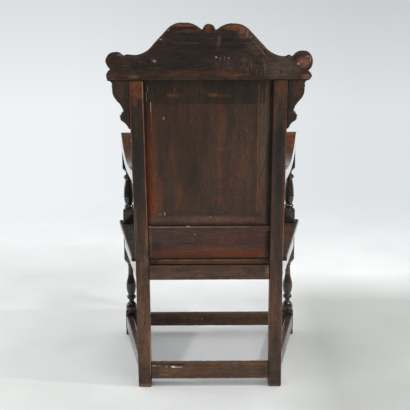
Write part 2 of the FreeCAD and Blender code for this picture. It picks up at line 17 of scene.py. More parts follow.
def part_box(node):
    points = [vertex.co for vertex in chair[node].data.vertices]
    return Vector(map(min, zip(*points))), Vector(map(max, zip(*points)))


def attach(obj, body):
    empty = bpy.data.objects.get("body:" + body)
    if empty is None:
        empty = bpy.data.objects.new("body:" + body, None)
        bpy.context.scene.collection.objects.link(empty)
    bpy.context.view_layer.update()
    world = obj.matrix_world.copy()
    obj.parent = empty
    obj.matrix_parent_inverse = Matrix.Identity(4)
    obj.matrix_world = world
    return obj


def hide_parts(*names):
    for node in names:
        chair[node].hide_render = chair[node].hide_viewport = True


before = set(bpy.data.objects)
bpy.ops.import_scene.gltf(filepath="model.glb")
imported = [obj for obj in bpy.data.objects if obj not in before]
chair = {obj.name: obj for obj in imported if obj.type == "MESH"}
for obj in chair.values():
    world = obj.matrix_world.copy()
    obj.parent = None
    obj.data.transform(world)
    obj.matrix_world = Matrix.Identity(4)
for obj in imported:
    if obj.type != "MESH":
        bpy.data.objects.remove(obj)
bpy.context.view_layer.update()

MM = 0.001

# %% [markdown]
# A furniture photographer stands well back with a long lens, so that the uprights stay nearly parallel, and
# a little above the arms, so that the seat shows. The camera could be placed by eye. Here it was solved
# together with the sizes of the chair, so its numbers are simply given.

# %% The camera
lens = bpy.data.cameras.new("long_lens")
lens.sensor_width = 36
lens.lens = 78.8
lens.shift_x = -0.00963
lens.shift_y = 0.0017
camera = bpy.data.objects.new("camera", lens)
camera.location = (0, 2.9361, 1.2904)
turn = Euler((0, 0, math.pi)).to_matrix() @ Euler((math.radians(76.08), 0, 0)).to_matrix()
camera.rotation_euler = (turn @ Euler((0, 0, -0.005)).to_matrix()).to_euler()
bpy.context.scene.collection.objects.link(camera)
bpy.context.scene.camera = camera
bpy.context.scene.view_settings.view_transform = "Standard"

# %% [markdown]
# A finish is a tree of nodes. The nodes could be wired by hand in the shader editor, but a script can be
# run again. One helper adds any node, sets it up and joins it to what came before, and another turns a
# colour as a painter writes it, in hex, into the linear numbers that the renderer multiplies.

# %% Helpers for finishes
def linear(hex_colour):
    parts = [int(hex_colour[i:i + 2], 16) / 255 for i in (1, 3, 5)]
    return tuple(p / 12.92 if p <= 0.04045 else ((p + 0.055) / 1.055) ** 2.4 for p in parts) + (1,)


def add(tree, kind, feeds=None, out=None, **settings):
    node = tree.nodes.new(kind)
    for key, value in settings.items():
        setattr(node, key, value)
    for socket, value in (feeds or {}).items():
        if isinstance(value, bpy.types.NodeSocket):
            tree.links.new(value, node.inputs[socket])
        else:
            node.inputs[socket].default_value = value
    return node if out is None else node.outputs[out]


def blank_finish(name):
    finish = bpy.data.materials.new(name)
    finish.use_nodes = True
    finish.node_tree.nodes.clear()
    return finish, finish.node_tree


print("dark wax as linear", [round(c, 4) for c in linear("#2a1d16")[:3]])

# %% [markdown]
# Old English oak shows things of very different sizes: boards that are redder or blacker along their
# length, the figure of early and late wood, fine fibres, open pores, and clouds of wax and smoke that
# don't care about the grain. One noise can't hold them all, so each gets its own, stretched along the grain
# by real millimetres. The fibres and pores are drawn about twice too coarse, so that they still show from a
# few steps away. Two features are drawn out further on some pieces: coarser stretches the figure both ways,
# and drawn stretches the clouds along the grain.

# %% The patterns in the oak
GRAIN = {  # step along the grain and across it in millimetres, detail, wander
    "board": (620, 48, 3, 0.25),
    "figure": (260, 11, 4, 0.12),
    "fibre": (80, 2.4, 3, 0.0),
    "pore": (16, 1.4, 2, 0.0),
    "cloud": (120, 80, 3, 0.3),
    "stain": (85, 60, 3, 0.3),
    "grime": (26, 17, 5, 0.4),
    "broken": (34, 9, 4, 0.0),
    "scratch": (50, 1.2, 1, 0.0),
    "score": (3.4, 44, 3, 0.3),
}


def grain_patterns(tree, place, along, seed, coarser, drawn):
    lined = add(tree, "ShaderNodeMapping", {"Vector": place, "Rotation": along,
                                            "Location": (seed, seed * 0.7, seed * 1.3)}, 0)
    patterns = {}
    for label, (long_step, short_step, detail, wander) in GRAIN.items():
        if label in ("board", "figure"):
            long_step, short_step = long_step * coarser, short_step * coarser
        if label in ("cloud", "stain"):
            long_step = long_step * drawn
        scaled = add(tree, "ShaderNodeVectorMath", {0: lined, 1: (1 / (long_step * MM), 1 / (short_step * MM),
                                                                  1 / (short_step * MM))}, 0,
                     operation="MULTIPLY")
        patterns[label] = add(tree, "ShaderNodeTexNoise", {"Vector": scaled, "Scale": 1.0, "Detail": detail,
                                                           "Roughness": 0.6, "Distortion": wander}, "Fac")
    return patterns


print("figure is", round(GRAIN["figure"][0] / GRAIN["figure"][1]), "times as long as it is wide")

# %% [markdown]
# A restorer builds colour up in thin coats, and each coat takes only in some places. The finish works the
# same way: a stain lies where a pattern is high, a shade lightens and darkens what is there. A mark is a
# soft-edged streak with a place of its own, where the photograph shows something too fine for the skin to
# hold, such as the dark line where two faces meet. It is written as its middle across and up the back, half
# its width, half its height and the softness of its edge, all in millimetres, then its colour and strength.
# Image textures could hold such marks as well, but a few numbers are easier to move.

# %% Stains, shades and marks
# Some marks are painted highlights and painted shade, where light catches an edge or a shadow falls.
ANY_DEPTH = 10


def stained(tree, wood, where, low, high, share, colour):
    amount = add(tree, "ShaderNodeMapRange", {"Value": where, "From Min": low, "From Max": high,
                                              "To Max": share}, 0)
    return add(tree, "ShaderNodeMix", {0: amount, 6: wood, 7: linear(colour)}, 2, data_type="RGBA")


def shaded(tree, wood, where, depth):
    tone = add(tree, "ShaderNodeMapRange", {"Value": where, "From Min": 0.3, "From Max": 0.7,
                                            "To Min": 1 - depth, "To Max": 1 + depth}, 0)
    return add(tree, "ShaderNodeMix", {0: 1.0, 6: wood, 7: tone}, 2, data_type="RGBA", blend_type="MULTIPLY")


def under_mark(tree, place, broken, x, z, half_x, half_z, soft):
    off = add(tree, "ShaderNodeVectorMath", {0: place, 1: (x * MM, 0, z * MM)}, 0, operation="SUBTRACT")
    off = add(tree, "ShaderNodeVectorMath", {0: off}, 0, operation="ABSOLUTE")
    core = ((half_x - soft / 2) * MM, ANY_DEPTH, (half_z - soft / 2) * MM)
    past = add(tree, "ShaderNodeVectorMath", {0: off, 1: core}, 0, operation="SUBTRACT")
    past = add(tree, "ShaderNodeVectorMath", {0: past, 1: (0, 0, 0)}, 0, operation="MAXIMUM")
    far = add(tree, "ShaderNodeVectorMath", {0: past}, "Value", operation="LENGTH")
    inside = add(tree, "ShaderNodeMapRange", {"Value": far, "From Min": soft * MM, "From Max": 0.0}, 0,
                 interpolation_type="SMOOTHSTEP")
    patchy = add(tree, "ShaderNodeMapRange", {"Value": broken, "From Min": 0.35, "From Max": 0.6,
                                              "To Min": 0.4}, 0)
    rear = add(tree, "ShaderNodeAttribute", out="Fac", attribute_name="rear")
    shown = add(tree, "ShaderNodeMath", {0: inside, 1: patchy}, 0, operation="MULTIPLY")
    return add(tree, "ShaderNodeMath", {0: shown, 1: rear}, 0, operation="MULTIPLY")


print("finishes are built from", len(GRAIN), "patterns")

# %% [markdown]
# The oak itself starts from a dark and a brown tone, gets red and black clouds, and then the wear that
# each piece carries: rubbed warm where hands polish it, scuffed pale, scored across, worn on its arrises,
# and black where dirt has stayed. On a few pieces the pale coat paints a sheen of light and the black coat
# paints shade instead, and some marks are painted highlights or painted shade. One picture of oak would
# repeat on every piece. Coats laid over each other don't, and each of them can be made weaker or stronger
# for one piece.

# %% The colour of the oak
BLACK_WAX = "#12110d"


def oak_colour(tree, place, pattern, deep, brown, red, rubbed="#6f3f22", scuffed="#7b6555", scratches=0.22,
               edge=0.5, blotchy=1.0, lined=0.14, marks=()):
    broken = add(tree, "ShaderNodeMapRange", {"Value": pattern["broken"], "From Min": 0.18,
                                              "From Max": 0.56}, 0)
    wood = stained(tree, linear(deep), pattern["board"], 0.28, 0.56, 1.0, brown)
    wood = stained(tree, wood, pattern["stain"], 0.48, 0.68, 0.7 * blotchy, red)
    wood = stained(tree, wood, pattern["cloud"], 0.54, 0.34, 0.7 * blotchy, deep)
    for label, colour in (("rubbed", rubbed), ("scuffed", scuffed)):
        kept = add(tree, "ShaderNodeAttribute", out="Fac", attribute_name=label)
        taken = add(tree, "ShaderNodeMath", {0: kept, 1: broken}, 0, operation="MULTIPLY")
        wood = stained(tree, wood, taken, 0.0, 1.0, 1.0, colour)
    for label, by, low, high, share, colour in (("worn", "broken", 0.34, 0.56, edge, rubbed),
                                                ("scored", "score", 0.52, 0.7, 1.0, "#85756a")):
        kept = add(tree, "ShaderNodeAttribute", out="Fac", attribute_name=label)
        bits = add(tree, "ShaderNodeMapRange", {"Value": pattern[by], "From Min": low, "From Max": high}, 0)
        taken = add(tree, "ShaderNodeMath", {0: kept, 1: bits}, 0, operation="MULTIPLY")
        wood = stained(tree, wood, taken, 0.0, 1.0, share, colour)
    for label, depth in (("figure", lined), ("fibre", 0.16), ("grime", 0.26 * blotchy)):
        wood = shaded(tree, wood, pattern[label], depth)
    wood = stained(tree, wood, pattern["pore"], 0.56, 0.64, 0.35, BLACK_WAX)
    wood = stained(tree, wood, pattern["scratch"], 0.66, 0.72, scratches, "#a08c78")
    # the black coat: dirt, and in a few places painted shade
    dirt = add(tree, "ShaderNodeAttribute", out="Fac", attribute_name="dirt")
    wood = stained(tree, wood, dirt, 0.0, 1.0, 0.85, BLACK_WAX)
    for *spot, colour, share in marks:
        wood = stained(tree, wood, under_mark(tree, place, pattern["broken"], *spot), 0.0, 1.0, share, colour)
    return wood, dirt


print("oak is coloured in coats, the last of them", BLACK_WAX)

# %% [markdown]
# Old wax is a clear coat. On the arms and sides it is thick, and there it mirrors the bright paper behind
# the chair at a low angle, which is why these read nearly white. Where cloths and sleeves wipe only a part
# of a piece, the coat follows what is wiped. The wood under it is duller where dirt has stayed, and its
# fibres and pores give it relief. Roughness 0.3 to 0.5 is typical for waxed oak, and its IOR is 1.5.

# %% The finish of the oak
def waxed_oak(name, along, deep, brown, red, seed=0.0, gloss=0.42, shine=0.22, polish=0.0, partly=False,
              relief=0.7, coarser=1.0, drawn=1.0, **coats):
    finish, tree = blank_finish(name)
    place = add(tree, "ShaderNodeTexCoord", out="Object")
    pattern = grain_patterns(tree, place, along, seed, coarser, drawn)
    wood, dirt = oak_colour(tree, place, pattern, deep, brown, red, **coats)
    rough = add(tree, "ShaderNodeMapRange", {"Value": pattern["cloud"], "From Min": 0.35, "From Max": 0.65,
                                             "To Min": gloss - 0.08, "To Max": gloss + 0.12}, 0)
    rough = add(tree, "ShaderNodeMath", {0: dirt, 1: 0.4, 2: rough}, 0, operation="MULTIPLY_ADD")
    height = add(tree, "ShaderNodeMath", {0: pattern["fibre"], 1: 0.5, 2: pattern["grime"]}, 0,
                 operation="MULTIPLY_ADD")
    height = add(tree, "ShaderNodeMath", {0: pattern["pore"], 1: -0.4, 2: height}, 0,
                 operation="MULTIPLY_ADD")
    bump = add(tree, "ShaderNodeBump", {"Height": height, "Strength": relief, "Distance": 0.7 * MM}, 0)
    skin = add(tree, "ShaderNodeBsdfPrincipled", {
        "Base Color": wood, "Roughness": rough, "Normal": bump, "IOR": 1.5, "Specular IOR Level": shine,
        "Coat Roughness": 0.12, "Coat IOR": 1.5, "Coat Weight": polish})
    if partly:
        wiped = add(tree, "ShaderNodeAttribute", out="Fac", attribute_name="wiped")
        tree.links.new(wiped, skin.inputs["Coat Weight"])
    add(tree, "ShaderNodeOutputMaterial", {"Surface": skin.outputs[0]})
    return finish


ALONG_X = (0, 0, 0)
ALONG_Z = (0, math.pi / 2, 0)
print("oak finish ready")

# %% [markdown]
# A chair that has been used for three hundred years has no sharp edge left. The arrises could be rounded
# with a Bevel modifier, but that rounds all of them alike. Instead each piece is copied from its solid, its
# doubles are merged, and the Remesh modifier gives it an even skin of small faces, which the Smooth modifier
# softens. On an even skin every point can move on its own.

# %% A fine skin
SKIN_STEP = 2.5 * MM
SAME_POINT = 0.01 * MM


def fine_skin(name, step, softness):
    bm = bmesh.new()
    bm.from_mesh(chair[name].data)
    bmesh.ops.remove_doubles(bm, verts=bm.verts, dist=SAME_POINT)
    plain = bpy.data.meshes.new("plain_" + name)
    bm.to_mesh(plain)
    bm.free()
    piece = bpy.data.objects.new("aged_" + name, plain)
    bpy.context.scene.collection.objects.link(piece)
    fine = piece.modifiers.new("fine_skin", "REMESH")
    fine.mode, fine.voxel_size, fine.use_smooth_shade = "VOXEL", step, True
    soft = piece.modifiers.new("softened", "SMOOTH")
    soft.factor, soft.iterations = 0.5, softness
    seen = piece.evaluated_get(bpy.context.evaluated_depsgraph_get())
    mesh = bpy.data.meshes.new_from_object(seen)
    piece.modifiers.clear()
    piece.data = mesh
    mesh.name = "aged_" + name
    bpy.data.meshes.remove(plain)
    return piece


def read(domain, label, width, kind=float):
    values = np.empty(len(domain) * width, dtype=kind)
    domain.foreach_get(label, values)
    return values.reshape(-1, width)


print("a skin has faces of", SKIN_STEP / MM, "mm unless a piece asks for others")

# %% [markdown]
# Where does wood wear, and where does dirt stay? A point that stands proud of the mean of its neighbours
# is on an arris, and one that lies below it is in a corner. Dirt also stays where another piece is close.
# Both could be painted by hand on every piece. Measuring them takes a second and never misses a joint.

# %% Measuring arrises and joints
def nearness_trees():
    trees = {}
    for name, part in chair.items():
        bm = bmesh.new()
        bm.from_mesh(part.data)
        trees[name] = BVHTree.FromBMesh(bm)
        bm.free()
    return trees


near_pieces = nearness_trees()
REACH = 5 * MM


def averaged(points, pairs, rounds):
    count = np.bincount(pairs.ravel(), minlength=len(points))[:, None]
    for _ in range(rounds):
        total = np.empty_like(points)
        for axis in range(3):
            total[:, axis] = (np.bincount(pairs[:, 0], points[pairs[:, 1], axis], len(points))
                              + np.bincount(pairs[:, 1], points[pairs[:, 0], axis], len(points)))
        points = (points + total / count) / 2
    return points


def closeness(name, points, fastenings):
    gap = np.full(len(points), REACH)
    for other, tree in near_pieces.items():
        if other == name or other.endswith(("_pegs", "_nails")) != fastenings:
            continue
        low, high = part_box(other)
        inside = np.all((points > np.array(low) - REACH) & (points < np.array(high) + REACH), axis=1)
        for index in np.nonzero(inside)[0]:
            found = tree.find_nearest(points[index], REACH)
            if found[0] is not None and found[3] < gap[index]:
                gap[index] = found[3]
    return 1 - gap / REACH


print("nearness ready for", len(near_pieces), "pieces")

# %% [markdown]
# Some wear has a place of its own: where a hand takes hold, where a knee or a mop strikes. Such a touch is
# a soft ellipse on every face that doesn't look to the front, written in millimetres as a restorer would
# note it: what it does, how far across and how high its middle is, how far it reaches each way, how strong
# it is, and how many degrees it leans. A clean touch takes dirt away where a joint is tight.

# %% Touches of wear
# A few touches paint shade or a sheen of light instead of wear, as on the lower rail and the panel.
FULL_TO, GONE_AT = 0.5, 1.3
FACES_REAR = -0.3


def touched(points, normals, touches, label):
    total = np.zeros(len(points))
    for kind, x, z, reach_x, reach_z, strength, *lean in touches:
        if kind != label:
            continue
        angle = math.radians(lean[0] if lean else 0)
        across, up = points[:, 0] / MM - x, points[:, 2] / MM - z
        along_x = across * math.cos(angle) + up * math.sin(angle)
        along_z = up * math.cos(angle) - across * math.sin(angle)
        far = np.sqrt((along_x / reach_x) ** 2 + (along_z / reach_z) ** 2)
        total = np.maximum(total, strength * np.clip((GONE_AT - far) / (GONE_AT - FULL_TO), 0, 1))
    return total * (normals[:, 1] > FACES_REAR)


print("a touch fades out at", GONE_AT, "times its reach")

# %% [markdown]
# Now a piece can age. Its arrises lose small chips, and its faces, which were planed by hand, dip and rise
# by a fraction of a millimetre. Blender's own noise gives both, and it is the same on every run. Points only
# ever move inwards, so the chair never grows past its measured size.

# %% Wood worn away
WAVES_A_METRE, CHIPS_A_METRE, SPLINTERS_A_METRE = 11, 75, 120
SPLINTER = 1.2 * MM
ROUNDED_OVER = 24 * MM
WORN = 0.15


def worn_down(points, normals, worn, waves, chips, touches, rounded):
    dips = np.array([noise.fractal(Vector(p) * WAVES_A_METRE, 1, 2, 2) for p in points])
    sink = waves * np.clip(0.5 + 0.7 * dips, 0, 1)
    for index in np.nonzero(worn > WORN)[0]:
        hit = noise.noise(Vector(points[index]) * CHIPS_A_METRE)
        sink[index] += chips * worn[index] * max(0.0, hit - 0.05) * 2
    chipped = touched(points, normals, touches, "chipped")
    for index in np.nonzero(chipped)[0]:
        hit = noise.noise(Vector(points[index]) * SPLINTERS_A_METRE)
        sink[index] += SPLINTER * chipped[index] * max(0.0, hit + 0.2)
    from_front = (points[:, 1] - points[:, 1].min()) / ROUNDED_OVER
    sink += rounded * worn * (normals[:, 2] > 0.2) * np.clip(1 - from_front, 0, 1)
    return points - normals * sink[:, None]


print("waves are about", round(1000 / WAVES_A_METRE), "mm long, chips", round(1000 / CHIPS_A_METRE), "mm")

# %% [markdown]
# The finish also has to know where the wood is worn on its arrises, dirty in its corners and dusty on the
# faces that look up. A material can't look across a whole mesh to find that, so each measure is kept on the
# skin as an attribute, one number a point, and the old piece gives way to its aged skin.

# %% Aging one piece
ARRIS_SPAN = 5 * MM
PROUD_BY = 0.25
print("an arris stands proud of its surroundings by", PROUD_BY, "mm or more")


def aged(name, finish, step=SKIN_STEP, softness=2, chips=0.9 * MM, waves=0.3 * MM, rounded=0.0,
         dusty=0.0, wiped=None, touches=()):
    piece = fine_skin(name, step, softness)
    mesh = piece.data
    points, normals = read(mesh.vertices, "co", 3), read(mesh.vertices, "normal", 3)
    pairs = read(mesh.edges, "vertices", 2, np.int64)
    rounds = int(round((ARRIS_SPAN / step) ** 2 * 3))
    proud = ((points - averaged(points, pairs, rounds)) * normals).sum(axis=1) / MM
    close = closeness(name, points, False)
    worn = np.clip(proud - PROUD_BY, 0, 1) * (1 - close) * (1 - closeness(name, points, True))
    dust = dusty * np.clip(normals[:, 2] * 1.6 - 0.5, 0, 1)
    # dust, dirt held in corners and dirt touches; a few dirt touches are painted shade
    dirt = np.maximum(touched(points, normals, touches, "dirt"), dust)
    held = np.clip(np.maximum(-proud * 0.8 - 0.2, close ** 2 * 0.8), 0, 1)
    dirt = np.maximum(dirt, held * (1 - touched(points, normals, touches, "clean")))
    values = {"worn": worn, "dirt": dirt, "rear": np.clip(normals[:, 1] * 3, 0, 1)}
    if wiped:
        values["wiped"] = wiped(points, normals)
    for label in ("rubbed", "scuffed", "scored"):
        values[label] = touched(points, normals, touches, label)
    for label, found in values.items():
        mesh.attributes.new(label, "FLOAT", "POINT").data.foreach_set("value", found.astype(np.float32))
    points = worn_down(points, normals, worn, waves, chips, touches, rounded)
    mesh.vertices.foreach_set("co", points.ravel())
    mesh.materials.clear()
    mesh.materials.append(finish)
    mesh.update()
    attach(piece, "root")
    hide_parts(name)
    print(f"{name:20s} {len(mesh.polygons) * 2:7d} triangles, {int((worn > WORN).sum()):6d} points worn")
    return piece


# %% [markdown]
# The crest is one thick plank, sawn to a pattern, with its grain side to side. Hands take hold of it to move
# the chair, so its lobes and its right scroll are rubbed warm and its front arris is round, while the right
# half carries the scores of a blade that once scraped it. Its top is black with dust, and thin highlights
# along the edges of its scrolls and slopes are painted on. The outline is in the solid already, so only the
# surface is left to tell here.

# %% The crest rail
# the pale lines along the upper edges of both scrolls and the pale dots high on the left slope are painted
# highlights
crest_marks_and_highlights = [
    (253, 1090, 10, 1.0, 1.0, "#b5a899", 0.8), (-289, 1084, 6, 1.2, 1.0, "#c9bba9", 0.85),
    (-297, 1075, 1.4, 6, 1.0, "#b9a793", 0.8), (-262, 1062, 3, 2.4, 1.2, "#c0b2a2", 0.85),
    (136, 1134, 3.2, 1.5, 1.4, "#b3a498", 0.85), (156, 1072, 3.4, 2.2, 3.4, "#b09a8a", 0.8),
    (-23, 1082, 2.4, 2.0, 2.2, "#b8a99c", 0.9), (-60, 1080, 2.0, 1.8, 2.0, "#9d8d80", 0.7),
    (-34, 1077, 1.0, 5, 1.4, "#8f8074", 0.5), (-48, 1078, 1.0, 6, 1.4, "#8b7b70", 0.5),
    (60, 1124, 40, 0.8, 0.8, "#64544a", 0.5), (114, 1160, 2.6, 2.0, 1.2, "#a8917c", 0.7),
]
crest_oak = waxed_oak("smoke_darkened_oak_crest", ALONG_X, "#272420", "#3c2b22", "#4a3027", seed=3.1,
                      scuffed="#8b7768", blotchy=0.9, lined=0.09, edge=0.16, rubbed="#84471f", drawn=1.6,
                      marks=crest_marks_and_highlights)
crest_touches = [
    ("rubbed", 76, 1175, 44, 5, 0.9), ("rubbed", 50, 1158, 26, 6, 0.3), ("rubbed", -84, 1168, 36, 9, 0.8),
    ("rubbed", -112, 1152, 24, 12, 0.4, -35), ("rubbed", 0, 1164, 9, 12, 0.6),
    ("rubbed", -278, 1068, 20, 17, 0.8), ("rubbed", -286, 1022, 15, 11, 0.6),
    ("rubbed", 285, 1024, 16, 10, 0.12),
    ("scuffed", -279, 1066, 17, 15, 0.4), ("scuffed", -288, 1024, 12, 8, 0.45),
    ("scuffed", 158, 1072, 9, 5, 0.4, 25), ("scuffed", 219, 1026, 15, 6, 0.3),
    ("rubbed", 60, 1034, 110, 14, 0.18), ("rubbed", -60, 1033, 50, 10, 0.28),
    ("rubbed", 215, 1034, 50, 12, 0.15),
    ("scuffed", -140, 1116, 30, 20, 0.14), ("dirt", 262, 1064, 20, 26, 0.3),
    ("scuffed", -220, 1050, 50, 36, 0.25), ("dirt", -100, 1058, 26, 22, 0.15),
    ("scuffed", -30, 1124, 5, 22, 0.3, 8), ("scored", -42, 1062, 20, 22, 0.35),
    ("scored", -105, 1052, 34, 30, 0.5, 8), ("scored", -150, 1052, 24, 30, 0.5),
    ("scored", -220, 1046, 40, 24, 0.2), ("scored", -105, 1152, 20, 15, 0.9, 25),
    ("scuffed", -100, 1158, 6, 9, 0.5, 30), ("scuffed", -123, 1140, 5, 7, 0.45, 40),
    ("scuffed", -150, 1106, 44, 1.4, 0.6, 50), ("scored", 206, 1070, 22, 10, 0.2),
    ("dirt", -60, 1116, 34, 24, 0.35), ("dirt", 200, 1056, 34, 28, 0.35), ("dirt", 62, 1148, 36, 5, 0.45),
    ("dirt", 110, 1090, 110, 34, 0.2), ("dirt", -18, 1096, 26, 26, 0.25), ("dirt", -250, 1078, 8, 9, 0.6),
    ("chipped", -286, 1022, 15, 12, 0.9), ("chipped", 240, 1090, 12, 8, 0.7),
    ("clean", 0, 1008, 330, 14, 0.45),
]
aged("crest_rail", crest_oak, step=2 * MM, softness=1, rounded=4 * MM, dusty=0.85,
     touches=crest_touches)

# %% [markdown]
# The stiles are the back's uprights and the rear legs in one. The left one is rubbed bright at its top, and
# a painted highlight runs all down its inner arris, where the light from the right falls on its side. Down
# the right one's inner arris runs a line of painted shade. Both are dull and pale below the seat, where mops
# and shoes reach. The ears fill the corner under the crest. Two stiles cut from two trees never match, so
# each has a finish of its own.

# %% The stiles and the ears
# the long line at x 194 down the inner arris is a painted highlight
left_marks_and_highlight = [
    (194, 760, 1.2, 250, 1.0, "#95664a", 0.75), (194, 985, 1.3, 26, 0.9, "#a8764f", 0.8),
    (232.6, 900, 1.0, 110, 0.9, "#74442f", 0.6), (194, 110, 1.3, 70, 1.0, "#a78d77", 0.55),
    (214, 232, 1.2, 14, 1.0, "#8d7a6b", 0.6), (203, 180, 1.2, 9, 1.0, "#93806f", 0.6),
]
# the dark line at -193.6 down the inner arris is painted shade
right_marks_and_shade = [
    (-233, 520, 1.0, 100, 0.9, "#8f7c70", 0.55), (-193.6, 760, 1.0, 220, 0.9, "#171311", 0.5),
    (-193.6, 240, 1.0, 130, 0.9, "#7d5f4e", 0.5), (-232.8, 200, 1.0, 150, 0.9, "#8b6a58", 0.4),
]
stile_oak = waxed_oak("waxed_oak_stile", ALONG_Z, "#2d2823", "#3b2d27", "#4a3027", seed=1.7,
                      scuffed="#8f6c54", blotchy=0.55, drawn=2.5, lined=0.1, marks=left_marks_and_highlight)
stile_oak_right = waxed_oak("waxed_oak_stile_red", ALONG_Z, "#2e2d28", "#41322b", "#52362e", seed=8.2,
                            scuffed="#7c6255", blotchy=0.6, drawn=2.5, lined=0.1, marks=right_marks_and_shade)
left_touches = [
    ("rubbed", 212, 1000, 24, 16, 1.1), ("rubbed", 208, 978, 20, 18, 1.0), ("rubbed", 218, 952, 7, 20, 0.7),
    ("rubbed", 195, 960, 3, 60, 0.5), ("rubbed", 233, 880, 3, 110, 0.6), ("rubbed", 216, 880, 6, 60, 0.25),
    ("scuffed", 190, 985, 2.5, 24, 0.5), ("scuffed", 214, 230, 34, 250, 0.3),
    ("scuffed", 222, 290, 3, 120, 0.4), ("rubbed", 208, 210, 16, 180, 0.42),
    ("scuffed", 193, 140, 3, 60, 1.0), ("chipped", 193, 130, 6, 90, 1.0), ("scuffed", 228, 560, 3, 60, 0.5),
    ("scuffed", 213, 6, 26, 6, 0.75), ("chipped", 213, 8, 26, 12, 1.3), ("dirt", 216, 800, 12, 150, 0.22),
    ("dirt", 213, 46, 30, 34, 0.35), ("dirt", 206, 330, 12, 60, 0.2), ("scuffed", 197, 500, 5, 34, 0.5),
    ("scuffed", 200, 430, 9, 30, 0.45), ("rubbed", 204, 545, 10, 60, 0.4), ("clean", 190, 700, 12, 420, 0.7),
]
right_touches = [
    ("rubbed", -212, 985, 18, 30, 0.6), ("rubbed", -200, 925, 9, 60, 0.5),
    ("scuffed", -234, 720, 2.6, 190, 0.35), ("rubbed", -230, 600, 6, 160, 0.35),
    ("scuffed", -213, 215, 34, 220, 0.22), ("rubbed", -206, 270, 12, 130, 0.5),
    ("scuffed", -194, 240, 3, 90, 0.3), ("scuffed", -213, 5, 26, 5, 0.55),
    ("chipped", -213, 8, 26, 12, 1.3), ("rubbed", -198, 620, 4, 130, 0.3),
    ("dirt", -213, 70, 30, 60, 0.25), ("dirt", -213, 150, 12, 70, 0.3), ("rubbed", -230, 250, 5, 60, 0.5),
    ("dirt", -216, 840, 11, 50, 0.4), ("dirt", -216, 690, 8, 60, 0.35), ("scuffed", -213, 70, 22, 22, 0.3),
    ("rubbed", -195, 330, 3, 120, 0.4), ("scuffed", -200, 470, 5, 40, 0.35),
]
aged("rear_stile_left", stile_oak, touches=left_touches)
aged("rear_stile_right", stile_oak_right, touches=right_touches)
ear_oak = waxed_oak("waxed_oak_ear", ALONG_Z, "#292a26", "#3b3028", "#4a3023", seed=5.4)
for side, way in (("left", 1), ("right", -1)):
    aged("ear_bracket_" + side, ear_oak, step=1.6 * MM, softness=1, waves=0.2 * MM, dusty=0.5,
         touches=[("rubbed", way * 262, 985, 14, 26, 0.3), ("dirt", way * 240, 960, 8, 60, 0.3)])

# %% [markdown]
# The lower rail closes the back under the panel. It is the reddest piece, with a pale worn line along its
# top. An orange glow painted along its foot stands for light bounced up from below, and a painted shadow
# of the right stile darkens its right end. Thin straight lines like these follow an arris, so the finish
# draws them as marks.

# %% The lower rail
# the three orange streaks along the foot are a painted glow, and the black patch at -185 is a painted shadow
rail_marks_glow_and_shade = [
    (10, 450, 170, 8, 14, "#5f2c12", 0.85), (10, 445, 168, 6, 8, "#5a2408", 0.95),
    (-90, 452, 84, 7, 12, "#7a350f", 0.6), (30, 547, 158, 1.0, 0.7, "#978070", 0.8),
    (-185, 482, 7, 52, 10, "#17130f", 0.85), (66, 549, 5, 1.2, 1.0, "#c4a48e", 0.85),
    (186, 549, 4, 1.6, 1.2, "#b39a86", 0.7), (44, 521, 2.6, 2.0, 1.2, "#8c8a84", 0.8),
]
rail_oak = waxed_oak("red_brown_oak_rail", ALONG_X, "#3a2a25", "#553a31", "#6c3b31", seed=6.6,
                     rubbed="#8a4018", marks=rail_marks_glow_and_shade, lined=0.06, blotchy=0.5)
# the dirt touch at -190 is painted shade at the right end; the clean touch along the foot keeps the painted
# glow clear
rail_touches_and_shade = [
    ("dirt", -190, 500, 9, 55, 0.5), ("dirt", 172, 472, 20, 36, 0.25), ("rubbed", -10, 466, 170, 18, 0.3),
    ("scuffed", 186, 500, 5, 44, 0.5), ("rubbed", -60, 505, 90, 22, 0.2), ("clean", 10, 444, 190, 12, 1.0),
    ("clean", 194, 500, 9, 60, 0.7), ("scored", 40, 500, 150, 30, 0.12), ("clean", 0, 552, 200, 8, 0.5),
]
aged("lower_back_rail", rail_oak, step=2 * MM, touches=rail_touches_and_shade)

# %% [markdown]
# The panel is one wide board with its grain upright, bevelled with a plane so that its edges fit the
# grooves. Its top bevel was cut across the grain and has gone black, and the left one is rubbed
# orange-brown. The right bevel is painted paler as a sheen of reflected light, and on the right, where the
# board has shrunk, the gap is painted black as the shadow of the stile. A wide quartered board has a broad
# figure, so its grain is drawn coarser than the rest.

